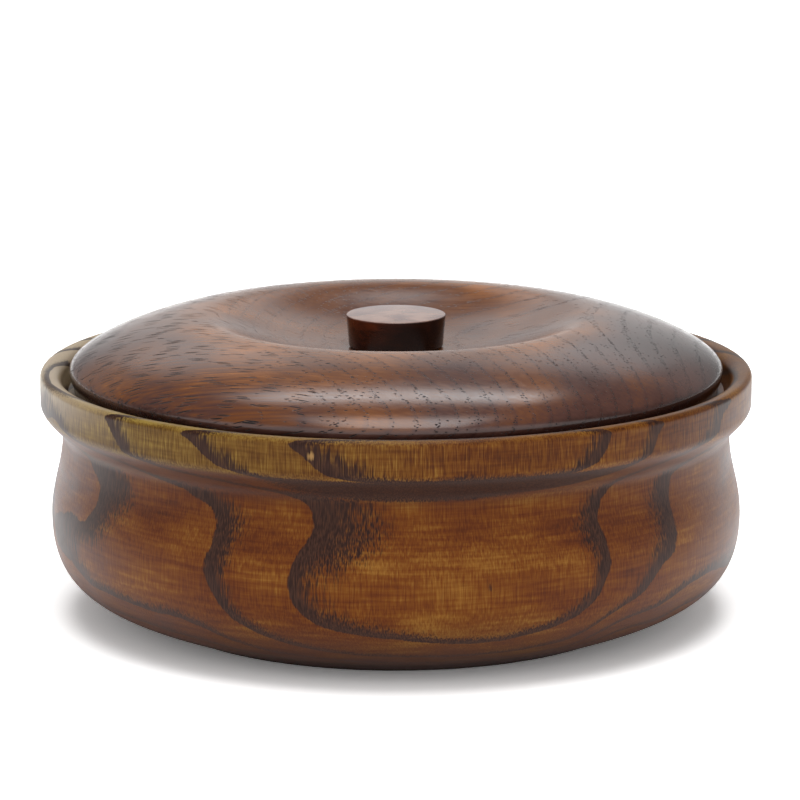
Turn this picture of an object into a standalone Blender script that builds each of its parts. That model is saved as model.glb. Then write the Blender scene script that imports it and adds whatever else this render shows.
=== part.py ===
"""Lidded wooden bowl: a turned bowl with a rebated rim, a dished lid, a knob and the dowel that holds it.

All lengths are metres, +Z is up, and the origin is the centre of the base. Every piece is a solid of
revolution, so each one is drawn as half of its section, as (radius, height) points, and turned about Z.
"""
import math

import bpy

MM = 0.001

# Turning: facets round the axis, and points along one curved stretch of a section.
FACETS = 60
DOWEL_FACETS = 24
LONG_CURVE_POINTS = 8
SHORT_CURVE_POINTS = 4
WELD = 0.00001

# Gap kept between two pieces that touch on the real object.
TOUCH_GAP = 0.3 * MM

# Bowl, outside: an upright rim band, a cove below it, a neck, a swelling belly and a flat base.
RIM_RADIUS = 120.0 * MM
BOWL_HEIGHT = 84.0 * MM
BAND_HEIGHT = 10.4 * MM
COVE_HEIGHT = 11.6 * MM
NECK_INSET = 7.2 * MM
BELLY_SWELL = 4.0 * MM
BELLY_HEIGHT = 35.0 * MM
BASE_INSET = 34.8 * MM
BASE_ANGLE = math.radians(24.0)
BELLY_DROP = 25.5 * MM
BASE_REACH = 20.5 * MM

# Bowl, underneath: a ring to stand on round a shallow turned recess.
BASE_RING_WIDTH = 16.0 * MM
BASE_RECESS = 1.5 * MM
RECESS_SLOPE = 2.0 * MM

# Bowl, rim and ledge: a crowned lip that falls into the rebate where the lid rests.
RIM_ROUNDING = 2.2 * MM
RIM_WIDTH = 7.4 * MM
LIP_FALL = 4.4 * MM
REBATE_DRAFT = 2.0 * MM
LEDGE_DEPTH = 7.3 * MM

# Bowl, inside.
WALL = 9.0 * MM
FLOOR_THICKNESS = 9.0 * MM
FLOOR_INSET = 40.0 * MM
INNER_DROP = 16.0 * MM
INNER_REACH = 18.0 * MM
EDGE_BREAK = 0.8 * MM

# Lid, outside: its edge hangs just inside the rim, its crest is a soft ring round a dish.
LID_GAP = 2.4 * MM
LID_EDGE_RISE = 6.9 * MM
LID_UNDERCUT = 1.6 * MM
CREST_RADIUS = 65.0 * MM
CREST_RISE = 24.2 * MM
DOME_REACH = 16.6 * MM
EDGE_REACH = 6.3 * MM
DISH_DEPTH = 10.9 * MM
DISH_LIP = 9.0 * MM
DISH_REACH = 26.0 * MM
KNOB_PAD_MARGIN = 1.5 * MM

# Lid, underneath: a flat ring that sits on the ledge, round a hollow.
SEAT_INSIDE = 5.0 * MM
LID_WALL = 8.6 * MM
HOLLOW_SLOPE = 14.0 * MM

# Knob: a short disc that narrows towards its foot.
KNOB_TOP_RADIUS = 16.75 * MM
KNOB_FOOT_RADIUS = 15.95 * MM
KNOB_HEIGHT = 11.2 * MM
KNOB_CROWN = 0.3 * MM
KNOB_ROUNDING = 0.4 * MM
KNOB_FOOT_BREAK = 0.5 * MM

# Dowel: a glued peg in a blind hole in the lid and another in the knob.
DOWEL_RADIUS = 4.0 * MM
DOWEL_IN_LID = 5.0 * MM
DOWEL_IN_KNOB = 6.5 * MM
DOWEL_CHAMFER = 0.8 * MM

# Places that follow from the sizes above.
NECK_RADIUS = RIM_RADIUS - NECK_INSET
BELLY_RADIUS = NECK_RADIUS + BELLY_SWELL
BASE_RADIUS = BELLY_RADIUS - BASE_INSET
BAND_FOOT = BOWL_HEIGHT - BAND_HEIGHT
NECK_HEIGHT = BAND_FOOT - COVE_HEIGHT
LEDGE_HEIGHT = BOWL_HEIGHT - LEDGE_DEPTH
MOUTH_RADIUS = RIM_RADIUS - RIM_WIDTH
REBATE_RADIUS = MOUTH_RADIUS - REBATE_DRAFT
INSIDE_NECK_RADIUS = NECK_RADIUS - WALL
INSIDE_BELLY_RADIUS = BELLY_RADIUS - WALL
FLOOR_RADIUS = INSIDE_BELLY_RADIUS - FLOOR_INSET
SEAT_HEIGHT = LEDGE_HEIGHT + TOUCH_GAP
LID_RADIUS = MOUTH_RADIUS - LID_GAP
DISH_FLOOR = CREST_RISE - DISH_DEPTH
HOLE_RADIUS = DOWEL_RADIUS + TOUCH_GAP
KNOB_FOOT_HEIGHT = DISH_FLOOR + TOUCH_GAP

WOOD_COLOURS = {
    "bowl": (0.260, 0.098, 0.024, 1.0),
    "lid": (0.115, 0.042, 0.022, 1.0),
    "knob": (0.048, 0.016, 0.009, 1.0),
    "knob_dowel": (0.420, 0.270, 0.140, 1.0),
}
LACQUER_ROUGHNESS = 0.32
BARE_WOOD_ROUGHNESS = 0.70


def curve(start, start_handle, end_handle, end, count):
    """Points of a cubic curve after its start, up to and including its end."""
    points = []
    for step in range(1, count + 1):
        t = step / count
        weights = ((1 - t) ** 3, 3 * (1 - t) ** 2 * t, 3 * (1 - t) * t ** 2, t ** 3)
        corners = (start, start_handle, end_handle, end)
        radius = sum(weight * corner[0] for weight, corner in zip(weights, corners))
        height = sum(weight * corner[1] for weight, corner in zip(weights, corners))
        points.append((radius, height))
    return points


def ogee(start, end, count):
    """Points of an S that leaves its start and meets its end upright, without the start."""
    points = []
    for step in range(1, count + 1):
        t = step / count
        share = (1 - math.cos(math.pi * t)) / 2
        radius = start[0] + (end[0] - start[0]) * share
        points.append((radius, start[1] + (end[1] - start[1]) * t))
    return points


def rounded(start, corner, end, count):
    """Points that round a square corner, after the start, up to and including the end."""
    points = []
    for step in range(1, count + 1):
        angle = math.pi / 2 * step / count
        along = math.sin(angle)
        down = 1 - math.cos(angle)
        radius = start[0] + (corner[0] - start[0]) * along + (end[0] - corner[0]) * down
        height = start[1] + (corner[1] - start[1]) * along + (end[1] - corner[1]) * down
        points.append((radius, height))
    return points


def bowl_section():
    """Half section of the bowl, from the middle of its floor, over the rim, to the middle of its base."""
    floor_edge = (FLOOR_RADIUS, FLOOR_THICKNESS)
    inside_belly = (INSIDE_BELLY_RADIUS, BELLY_HEIGHT)
    inside_neck = (INSIDE_NECK_RADIUS, NECK_HEIGHT)
    ledge_edge = (INSIDE_NECK_RADIUS, LEDGE_HEIGHT - EDGE_BREAK)
    mouth = (MOUTH_RADIUS, BOWL_HEIGHT - LIP_FALL)
    lip_top = (RIM_RADIUS - RIM_ROUNDING, BOWL_HEIGHT)
    band_top = (RIM_RADIUS, BOWL_HEIGHT - RIM_ROUNDING)
    band_foot = (RIM_RADIUS, BAND_FOOT)
    neck = (NECK_RADIUS, NECK_HEIGHT)
    belly = (BELLY_RADIUS, BELLY_HEIGHT)
    base_edge = (BASE_RADIUS, 0.0)
    ring_edge = (BASE_RADIUS - BASE_RING_WIDTH, 0.0)

    points = [(0.0, FLOOR_THICKNESS), floor_edge]
    points += curve(
        floor_edge,
        (FLOOR_RADIUS + INNER_REACH, FLOOR_THICKNESS),
        (INSIDE_BELLY_RADIUS, BELLY_HEIGHT - INNER_DROP),
        inside_belly,
        LONG_CURVE_POINTS,
    )
    points += ogee(inside_belly, inside_neck, SHORT_CURVE_POINTS)
    points += [
        ledge_edge,
        (INSIDE_NECK_RADIUS + EDGE_BREAK, LEDGE_HEIGHT),
        (REBATE_RADIUS, LEDGE_HEIGHT),
        mouth,
    ]
    points += curve(
        mouth,
        (mouth[0], mouth[1] + LIP_FALL / 2),
        ((mouth[0] + lip_top[0]) / 2, BOWL_HEIGHT),
        lip_top,
        SHORT_CURVE_POINTS,
    )
    points += rounded(lip_top, (RIM_RADIUS, BOWL_HEIGHT), band_top, SHORT_CURVE_POINTS)
    points += [band_foot]
    points += ogee(band_foot, neck, SHORT_CURVE_POINTS + 1)
    points += ogee(neck, belly, SHORT_CURVE_POINTS)
    points += curve(
        belly,
        (BELLY_RADIUS, BELLY_HEIGHT - BELLY_DROP),
        (BASE_RADIUS + BASE_REACH * math.cos(BASE_ANGLE), BASE_REACH * math.sin(BASE_ANGLE)),
        base_edge,
        LONG_CURVE_POINTS,
    )
    points += [ring_edge, (ring_edge[0] - RECESS_SLOPE, BASE_RECESS), (0.0, BASE_RECESS)]
    return points


def lid_section():
    """Half section of the lid above its seat, from the dowel hole, over the crest, to the hollow."""
    hole_floor = DISH_FLOOR - DOWEL_IN_LID - TOUCH_GAP
    pad_edge = (KNOB_FOOT_RADIUS + KNOB_PAD_MARGIN, DISH_FLOOR)
    crest = (CREST_RADIUS, CREST_RISE)
    edge = (LID_RADIUS, LID_EDGE_RISE)
    seat_outside = (LID_RADIUS - LID_UNDERCUT, 0.0)
    seat_inside = (INSIDE_NECK_RADIUS - SEAT_INSIDE, 0.0)
    hollow_top = (CREST_RADIUS, CREST_RISE - LID_WALL)
    hollow_edge = (seat_inside[0], EDGE_BREAK)
    boss_edge = (pad_edge[0], DISH_FLOOR - LID_WALL)

    points = [(0.0, hole_floor), (HOLE_RADIUS, hole_floor), (HOLE_RADIUS, DISH_FLOOR), pad_edge]
    points += curve(
        pad_edge,
        (pad_edge[0] + DISH_REACH, DISH_FLOOR),
        (CREST_RADIUS - DISH_LIP, CREST_RISE),
        crest,
        LONG_CURVE_POINTS,
    )
    points += curve(
        crest,
        (CREST_RADIUS + DOME_REACH, CREST_RISE),
        (LID_RADIUS, LID_EDGE_RISE + EDGE_REACH),
        edge,
        LONG_CURVE_POINTS + 1,
    )
    points += curve(
        edge,
        (LID_RADIUS, LID_EDGE_RISE / 2),
        (seat_outside[0], LID_EDGE_RISE / 2),
        seat_outside,
        SHORT_CURVE_POINTS,
    )
    points += [seat_inside, hollow_edge]
    points += curve(
        hollow_edge,
        (hollow_edge[0] - HOLLOW_SLOPE / 4, hollow_edge[1] + HOLLOW_SLOPE),
        (CREST_RADIUS + DOME_REACH, hollow_top[1]),
        hollow_top,
        LONG_CURVE_POINTS - 1,
    )
    points += curve(
        hollow_top,
        (CREST_RADIUS - DISH_LIP, hollow_top[1]),
        (boss_edge[0] + DISH_REACH, boss_edge[1]),
        boss_edge,
        LONG_CURVE_POINTS - 2,
    )
    points += [(0.0, boss_edge[1])]
    return points


def knob_section():
    """Half section of the knob above its foot, from its crown to the dowel hole in its foot."""
    rounding_start = (KNOB_TOP_RADIUS - KNOB_ROUNDING, KNOB_HEIGHT - KNOB_CROWN)
    rounding_end = (KNOB_TOP_RADIUS, KNOB_HEIGHT - KNOB_CROWN - KNOB_ROUNDING)
    hole_top = DOWEL_IN_KNOB + TOUCH_GAP
    points = [(0.0, KNOB_HEIGHT), (rounding_start[0] / 2, KNOB_HEIGHT - KNOB_CROWN / 4), rounding_start]
    points += rounded(rounding_start, (KNOB_TOP_RADIUS, rounding_start[1]), rounding_end, SHORT_CURVE_POINTS)
    points += [
        (KNOB_FOOT_RADIUS, KNOB_FOOT_BREAK),
        (KNOB_FOOT_RADIUS - KNOB_FOOT_BREAK, 0.0),
        (HOLE_RADIUS, 0.0),
        (HOLE_RADIUS, hole_top),
        (0.0, hole_top),
    ]
    return points


def dowel_section():
    """Half section of the dowel, measured from the foot of the knob."""
    top = DOWEL_IN_KNOB
    bottom = -TOUCH_GAP - DOWEL_IN_LID
    return [
        (0.0, top),
        (DOWEL_RADIUS - DOWEL_CHAMFER, top),
        (DOWEL_RADIUS, top - DOWEL_CHAMFER),
        (DOWEL_RADIUS, bottom + DOWEL_CHAMFER),
        (DOWEL_RADIUS - DOWEL_CHAMFER, bottom),
        (0.0, bottom),
    ]


def wood(name, colour, roughness):
    """A plain wood material: its colour and how dull its finish is."""
    material = bpy.data.materials.new(name)
    material.use_nodes = True
    shader = material.node_tree.nodes["Principled BSDF"]
    shader.inputs["Base Color"].default_value = colour
    shader.inputs["Roughness"].default_value = roughness
    shader.inputs["Metallic"].default_value = 0.0
    material.diffuse_color = colour
    return material


def turned(name, section, facets, roughness, collection, parent=None, height=0.0):
    """One piece made on the lathe: its half section turned round Z at a height above its parent."""
    mesh = bpy.data.meshes.new(name)
    vertices = [(radius, 0.0, level) for radius, level in section]
    edges = [(index, index + 1) for index in range(len(section) - 1)]
    mesh.from_pydata(vertices, edges, [])
    mesh.materials.append(wood(name + "_wood", WOOD_COLOURS[name], roughness))

    piece = bpy.data.objects.new(name, mesh)
    collection.objects.link(piece)
    piece.parent = parent
    piece.location = (0.0, 0.0, height)

    screw = piece.modifiers.new("Lathe", "SCREW")
    screw.axis = "Z"
    screw.angle = 2 * math.pi
    screw.steps = facets
    screw.render_steps = facets
    screw.use_smooth_shade = True
    screw.use_merge_vertices = True
    screw.merge_threshold = WELD
    return piece


def main():
    for old in list(bpy.data.objects):
        bpy.data.objects.remove(old, do_unlink=True)

    collection = bpy.data.collections.new("lidded_wooden_bowl")
    bpy.context.scene.collection.children.link(collection)

    bowl = turned("bowl", bowl_section(), FACETS, LACQUER_ROUGHNESS, collection)
    lid = turned("lid", lid_section(), FACETS, LACQUER_ROUGHNESS, collection, bowl, SEAT_HEIGHT)
    knob = turned("knob", knob_section(), FACETS, LACQUER_ROUGHNESS, collection, lid, KNOB_FOOT_HEIGHT)
    turned("knob_dowel", dowel_section(), DOWEL_FACETS, BARE_WOOD_ROUGHNESS, collection, knob)


main()
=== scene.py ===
# %% [markdown]
# # A lidded wooden bowl
#
# The object is four turned pieces of wood: a bowl with a rebated rim, a dished lid that rests in it,
# a knob on the lid, and the dowel that holds the knob. A solid model of it is loaded first. It stays
# fixed, and says where each piece is and how large. The lesson then gives the pieces a finer shape,
# builds four woods out of shader nodes, and lights them as in a small studio.

# %% Load the solid model
import math

import bmesh
import bpy
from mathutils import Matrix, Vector


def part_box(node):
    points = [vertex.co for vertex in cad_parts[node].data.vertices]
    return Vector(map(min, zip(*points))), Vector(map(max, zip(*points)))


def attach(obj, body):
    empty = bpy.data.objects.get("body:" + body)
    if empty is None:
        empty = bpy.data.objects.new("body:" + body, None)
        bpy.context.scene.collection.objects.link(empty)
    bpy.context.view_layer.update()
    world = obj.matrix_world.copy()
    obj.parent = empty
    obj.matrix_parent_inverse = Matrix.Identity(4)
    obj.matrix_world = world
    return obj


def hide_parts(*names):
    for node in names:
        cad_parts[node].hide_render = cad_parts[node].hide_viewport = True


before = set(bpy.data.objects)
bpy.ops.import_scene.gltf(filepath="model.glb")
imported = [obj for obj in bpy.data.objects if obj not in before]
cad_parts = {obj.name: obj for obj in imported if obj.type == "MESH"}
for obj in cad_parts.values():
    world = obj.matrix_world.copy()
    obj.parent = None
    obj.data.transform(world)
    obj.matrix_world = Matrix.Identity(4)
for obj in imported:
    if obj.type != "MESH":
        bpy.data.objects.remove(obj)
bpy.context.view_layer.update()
MM = 0.001

# %% [markdown]
# ## Camera
#
# The bowl is seen from a little above its rim and from far away, which keeps the ellipses of the rim
# and the lid flat. A long lens at 1.3 m does the same here. The camera is placed by its tilt and its
# distance from a point on the bowl's axis, so that each of the two can be changed alone. The small
# sideways shift only frames the picture: the bowl stands a few pixels left of the middle.

# %% Place the camera
CAMERA_TILT = math.radians(11.95)
CAMERA_DISTANCE = 1.300
AIM = Vector((0.0, 0.0, 0.07175))
LENS = 172.6
FRAME_SHIFT = 0.005

camera_data = bpy.data.cameras.new("camera")
camera_data.lens = LENS
camera_data.shift_x = FRAME_SHIFT
camera = bpy.data.objects.new("camera", camera_data)
toward_camera = Vector((0.0, -math.cos(CAMERA_TILT), math.sin(CAMERA_TILT)))
camera.location = AIM + toward_camera * CAMERA_DISTANCE
camera.rotation_euler = (math.pi / 2 - CAMERA_TILT, 0.0, 0.0)
bpy.context.scene.collection.objects.link(camera)
bpy.context.scene.camera = camera
print("camera at", [round(value, 3) for value in camera.location])

# %% [markdown]
# ## Turning a section
#
# On a lathe a piece takes its shape from the path of the cutting edge, so each piece is drawn as half
# of its section: points of radius and height, in millimetres. Three kinds of line are enough: a cubic
# curve for a free sweep, an S for a cove, and a quarter round for an edge. Spinning the section about
# the axis then gives the mesh. A primitive cylinder would have to be pushed into shape afterwards, and
# the section is also how a turner would draw the bowl.

# %% Lines of a section
LONG_POINTS = 28
SHORT_POINTS = 10


def curve(start, start_handle, end_handle, end, count):
    """Points of a cubic curve after its start, up to and including its end."""
    points = []
    for step in range(1, count + 1):
        t = step / count
        weights = ((1 - t) ** 3, 3 * (1 - t) ** 2 * t, 3 * (1 - t) * t ** 2, t ** 3)
        corners = (start, start_handle, end_handle, end)
        radius = sum(weight * corner[0] for weight, corner in zip(weights, corners))
        height = sum(weight * corner[1] for weight, corner in zip(weights, corners))
        points.append((radius, height))
    return points


def ogee(start, end, count):
    """Points of an S that leaves its start and meets its end upright, without the start."""
    points = []
    for step in range(1, count + 1):
        t = step / count
        share = (1 - math.cos(math.pi * t)) / 2
        points.append((start[0] + (end[0] - start[0]) * share, start[1] + (end[1] - start[1]) * t))
    return points


def rounded(start, corner, end, count):
    """Points that round a square corner, after the start, up to and including the end."""
    points = []
    for step in range(1, count + 1):
        angle = math.pi / 2 * step / count
        along = math.sin(angle)
        down = 1 - math.cos(angle)
        radius = start[0] + (corner[0] - start[0]) * along + (end[0] - corner[0]) * down
        height = start[1] + (corner[1] - start[1]) * along + (end[1] - corner[1]) * down
        points.append((radius, height))
    return points


print("a line of a section has", SHORT_POINTS, "or", LONG_POINTS, "points")

# %% Spin a section into a mesh
FACETS = 192
EDGE_ANGLE = math.radians(35.0)
WELD = 0.001 * MM


def turned(name, section, facets):
    """A mesh object: the half section spun round the Z axis, smooth except along its sharp edges."""
    shape = bmesh.new()
    outline = [shape.verts.new((radius * MM, 0.0, height * MM)) for radius, height in section]
    strokes = [shape.edges.new(pair) for pair in zip(outline, outline[1:])]
    bmesh.ops.spin(
        shape,
        geom=outline + strokes,
        axis=(0.0, 0.0, 1.0),
        cent=(0.0, 0.0, 0.0),
        steps=facets,
        angle=2 * math.pi,
        use_merge=True,
    )
    bmesh.ops.remove_doubles(shape, verts=shape.verts, dist=WELD)
    bmesh.ops.recalc_face_normals(shape, faces=shape.faces)
    for face in shape.faces:
        face.smooth = True
    for edge in shape.edges:
        edge.smooth = edge.calc_face_angle(0.0) < EDGE_ANGLE
    mesh = bpy.data.meshes.new(name)
    shape.to_mesh(mesh)
    shape.free()
    piece = bpy.data.objects.new(name, mesh)
    bpy.context.scene.collection.objects.link(piece)
    print(name, "has", len(mesh.polygons), "faces")
    return piece


# %% Sizes that the solid model gives
def reach(node):
    """Largest radius, lowest height and highest height of a solid, in millimetres."""
    low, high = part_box(node)
    return high.x / MM, low.z / MM, high.z / MM


RIM_RADIUS, _, BOWL_HEIGHT = reach("bowl")
LID_RADIUS, SEAT_HEIGHT, CREST_HEIGHT = reach("lid")
KNOB_RADIUS, KNOB_FOOT, KNOB_TOP = reach("knob")
DOWEL_RADIUS, DOWEL_FOOT, DOWEL_TOP = reach("knob_dowel")
for name, radius in (("rim", RIM_RADIUS), ("lid", LID_RADIUS), ("knob", KNOB_RADIUS)):
    print(name, "radius is", round(radius, 1), "mm")

# %% [markdown]
# ## Bowl
#
# The outside has an upright rim band, a cove under it, a neck, a belly that swells a little, and a
# long sweep down to a small base. The rim is crowned and falls into a rebate, where the lid rests.
# The inside follows the outside at an even wall, and the base has a shallow turned recess, so that
# the bowl stands on a ring. A squashed sphere could be cut and smoothed into this, but then no curve
# would have a size of its own. As a section, each is set by one or two named sizes.

# %% Bowl section
BAND_HEIGHT = 10.4
COVE_HEIGHT = 11.6
NECK_INSET = 7.2
BELLY_SWELL = 4.0
BELLY_HEIGHT = 35.0
BASE_INSET = 34.8
BASE_ANGLE = math.radians(24.0)
BELLY_DROP = 25.5
BASE_REACH = 20.5
BASE_RING_WIDTH = 16.0
BASE_RECESS = 1.5
RECESS_SLOPE = 2.0
RIM_ROUNDING = 2.2
RIM_WIDTH = 7.4
LIP_FALL = 4.4
REBATE_DRAFT = 2.0
LEDGE_DEPTH = 7.3
WALL = 9.0
FLOOR_THICKNESS = 9.0
FLOOR_INSET = 40.0
INNER_DROP = 16.0
INNER_REACH = 18.0
EDGE_BREAK = 0.8

neck_radius = RIM_RADIUS - NECK_INSET
belly_radius = neck_radius + BELLY_SWELL
base_radius = belly_radius - BASE_INSET
band_foot = BOWL_HEIGHT - BAND_HEIGHT
neck_height = band_foot - COVE_HEIGHT
ledge_height = BOWL_HEIGHT - LEDGE_DEPTH
inside_neck = neck_radius - WALL
inside_belly = belly_radius - WALL
floor_radius = inside_belly - FLOOR_INSET


def bowl_section():
    """From the middle of the floor, over the rim, to the middle of the base."""
    mouth = (RIM_RADIUS - RIM_WIDTH, BOWL_HEIGHT - LIP_FALL)
    lip_top = (RIM_RADIUS - RIM_ROUNDING, BOWL_HEIGHT)
    points = [(0.0, FLOOR_THICKNESS), (floor_radius, FLOOR_THICKNESS)]
    points += curve(
        points[-1],
        (floor_radius + INNER_REACH, FLOOR_THICKNESS),
        (inside_belly, BELLY_HEIGHT - INNER_DROP),
        (inside_belly, BELLY_HEIGHT),
        LONG_POINTS,
    )
    points += ogee(points[-1], (inside_neck, neck_height), SHORT_POINTS)
    points += [
        (inside_neck, ledge_height - EDGE_BREAK),
        (inside_neck + EDGE_BREAK, ledge_height),
        (mouth[0] - REBATE_DRAFT, ledge_height),
        mouth,
    ]
    points += curve(
        mouth,
        (mouth[0], mouth[1] + LIP_FALL / 2),
        ((mouth[0] + lip_top[0]) / 2, BOWL_HEIGHT),
        lip_top,
        SHORT_POINTS,
    )
    rim_corner = (RIM_RADIUS, BOWL_HEIGHT)
    points += rounded(lip_top, rim_corner, (RIM_RADIUS, BOWL_HEIGHT - RIM_ROUNDING), SHORT_POINTS)
    points += [(RIM_RADIUS, band_foot)]
    points += ogee(points[-1], (neck_radius, neck_height), LONG_POINTS)
    points += ogee(points[-1], (belly_radius, BELLY_HEIGHT), LONG_POINTS)
    points += curve(
        points[-1],
        (belly_radius, BELLY_HEIGHT - BELLY_DROP),
        (base_radius + BASE_REACH * math.cos(BASE_ANGLE), BASE_REACH * math.sin(BASE_ANGLE)),
        (base_radius, 0.0),
        LONG_POINTS,
    )
    ring_edge = base_radius - BASE_RING_WIDTH
    points += [(ring_edge, 0.0), (ring_edge - RECESS_SLOPE, BASE_RECESS), (0.0, BASE_RECESS)]
    return points


bowl = turned("bowl_turned", bowl_section(), FACETS)
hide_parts("bowl")
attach(bowl, "bowl")

# %% [markdown]
# ## Lid
#
# The lid's edge hangs just inside the rim and leaves a dark gap all round. From the edge it rises to
# a soft ring, the crest, and falls again into a shallow dish with the knob in its middle. A flat ring
# underneath sits on the ledge, round a hollow that keeps the lid light. A subdivided disc would give
# such soft forms too, but its surface drifts away from the points that are set, and the crest and the
# edge have to stay where the solid model has them.

# %% Lid section
LID_EDGE_RISE = 6.9
LID_UNDERCUT = 1.6
CREST_RADIUS = 65.0
DOME_REACH = 16.6
EDGE_REACH = 6.3
DISH_DEPTH = 10.9
DISH_LIP = 9.0
DISH_REACH = 26.0
KNOB_PAD_RADIUS = 17.45
SEAT_INSIDE = 5.0
LID_WALL = 8.6
HOLLOW_SLOPE = 14.0
HOLE_RADIUS = 4.3
HOLE_DEPTH = 5.3

dish_floor = CREST_HEIGHT - DISH_DEPTH


def lid_section():
    """From the bottom of the dowel's hole, over the crest and the edge, to the middle of the hollow."""
    hole_floor = dish_floor - HOLE_DEPTH
    crest = (CREST_RADIUS, CREST_HEIGHT)
    edge = (LID_RADIUS, SEAT_HEIGHT + LID_EDGE_RISE)
    seat_outside = (LID_RADIUS - LID_UNDERCUT, SEAT_HEIGHT)
    hollow_edge = (inside_neck - SEAT_INSIDE, SEAT_HEIGHT + EDGE_BREAK)
    hollow_top = (CREST_RADIUS, CREST_HEIGHT - LID_WALL)
    boss_edge = (KNOB_PAD_RADIUS, dish_floor - LID_WALL)
    points = [(0.0, hole_floor), (HOLE_RADIUS, hole_floor)]
    points += [(HOLE_RADIUS, dish_floor), (KNOB_PAD_RADIUS, dish_floor)]
    points += curve(
        points[-1],
        (KNOB_PAD_RADIUS + DISH_REACH, dish_floor),
        (CREST_RADIUS - DISH_LIP, CREST_HEIGHT),
        crest,
        LONG_POINTS,
    )
    points += curve(
        crest,
        (CREST_RADIUS + DOME_REACH, CREST_HEIGHT),
        (LID_RADIUS, edge[1] + EDGE_REACH),
        edge,
        LONG_POINTS,
    )
    points += curve(
        edge,
        (LID_RADIUS, SEAT_HEIGHT + LID_EDGE_RISE / 2),
        (seat_outside[0], SEAT_HEIGHT + LID_EDGE_RISE / 2),
        seat_outside,
        SHORT_POINTS,
    )
    points += [(hollow_edge[0], SEAT_HEIGHT), hollow_edge]
    points += curve(
        hollow_edge,
        (hollow_edge[0] - HOLLOW_SLOPE / 4, hollow_edge[1] + HOLLOW_SLOPE),
        (CREST_RADIUS + DOME_REACH, hollow_top[1]),
        hollow_top,
        LONG_POINTS,
    )
    points += curve(
        hollow_top,
        (CREST_RADIUS - DISH_LIP, hollow_top[1]),
        (boss_edge[0] + DISH_REACH, boss_edge[1]),
        boss_edge,
        LONG_POINTS,
    )
    points += [(0.0, boss_edge[1])]
    return points


lid = turned("lid_turned", lid_section(), FACETS)
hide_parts("lid")
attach(lid, "lid")

# %% [markdown]
# ## Knob and dowel
#
# The knob is a short disc that narrows towards its foot, with a nearly flat top and a small round on
# the top edge. A bevelled cone would come close, but the section gives the taper, the crown and the
# dowel's hole at once. The dowel is glued into blind holes in the knob and the lid. It is hidden, but
# it is a piece of the real object, so it gets its own wood.

# %% Knob and dowel sections
KNOB_FOOT_RADIUS = 15.95
KNOB_CROWN = 0.3
KNOB_ROUNDING = 0.4
KNOB_FOOT_BREAK = 0.5
KNOB_HOLE_DEPTH = 6.8
DOWEL_CHAMFER = 0.8
DOWEL_FACETS = 48


def knob_section():
    """From the middle of the crown, round the edge and the foot, to the top of the dowel's hole."""
    shoulder = (KNOB_RADIUS - KNOB_ROUNDING, KNOB_TOP - KNOB_CROWN)
    points = [(0.0, KNOB_TOP), (shoulder[0] / 2, KNOB_TOP - KNOB_CROWN / 4), shoulder]
    top_corner = (KNOB_RADIUS, shoulder[1])
    points += rounded(shoulder, top_corner, (KNOB_RADIUS, shoulder[1] - KNOB_ROUNDING), SHORT_POINTS)
    points += [
        (KNOB_FOOT_RADIUS, KNOB_FOOT + KNOB_FOOT_BREAK),
        (KNOB_FOOT_RADIUS - KNOB_FOOT_BREAK, KNOB_FOOT),
        (HOLE_RADIUS, KNOB_FOOT),
        (HOLE_RADIUS, KNOB_FOOT + KNOB_HOLE_DEPTH),
        (0.0, KNOB_FOOT + KNOB_HOLE_DEPTH),
    ]
    return points


def dowel_section():
    """From the middle of the dowel's upper end, over both chamfers, to the middle of its lower end."""
    return [
        (0.0, DOWEL_TOP),
        (DOWEL_RADIUS - DOWEL_CHAMFER, DOWEL_TOP),
        (DOWEL_RADIUS, DOWEL_TOP - DOWEL_CHAMFER),
        (DOWEL_RADIUS, DOWEL_FOOT + DOWEL_CHAMFER),
        (DOWEL_RADIUS - DOWEL_CHAMFER, DOWEL_FOOT),
        (0.0, DOWEL_FOOT),
    ]


knob = turned("knob_turned", knob_section(), FACETS)
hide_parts("knob")
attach(knob, "lid")
dowel = turned("dowel_turned", dowel_section(), DOWEL_FACETS)
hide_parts("knob_dowel")
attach(dowel, "lid")

# %% [markdown]
# ## Helpers for the woods
#
# Wood is solid, so its pattern runs through the block and the lathe only uncovers it. The shaders
# below therefore work in the object's own space, in millimetres, and need no unwrapping: the same
# growth ring appears as a line on the rim, an oval on the belly and a row of dots on a slope.
# One function adds a node with its settings and its links, and one turns a colour as it is usually
# written, in hexadecimal, into the linear values that a shader mixes. The others join the few nodes
# that are needed more than once: a point of the block, noise of a real size, an amount that fades out
# around a place, the distance from the axis, and the shader with its finish.

# %% Colour and node helpers
def linear(hex_colour):
    """A colour such as 8A5A22 as linear red, green, blue and alpha."""
    channels = [int(hex_colour[start:start + 2], 16) / 255 for start in (0, 2, 4)]
    return [c / 12.92 if c <= 0.04045 else ((c + 0.055) / 1.055) ** 2.4 for c in channels] + [1.0]


def add(tree, kind, inputs=None, stops=None, **settings):
    """Adds a node. An input is a value, another node's first output, or one of its sockets."""
    node = tree.nodes.new("ShaderNode" + kind)
    for name, value in settings.items():
        setattr(node, name, value)
    for key, value in (inputs or {}).items():
        if isinstance(value, bpy.types.Node):
            value = value.outputs[0]
        if isinstance(value, bpy.types.NodeSocket):
            tree.links.new(value, node.inputs[key])
        else:
            node.inputs[key].default_value = value
    if stops:
        ramp = node.color_ramp.elements
        while len(ramp) < len(stops):
            ramp.new(1.0)
        for element, (place, colour) in zip(ramp, stops):
            element.position = place
            element.color = linear(colour)
    return node


# Inputs of a Mix node that is set to colours, and the output with its result.
SHARE, UNDER, OVER = 0, 6, 7
MIXED = 2
print("8A5A22 is", [round(channel, 3) for channel in linear("8A5A22")], "in linear values")


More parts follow.
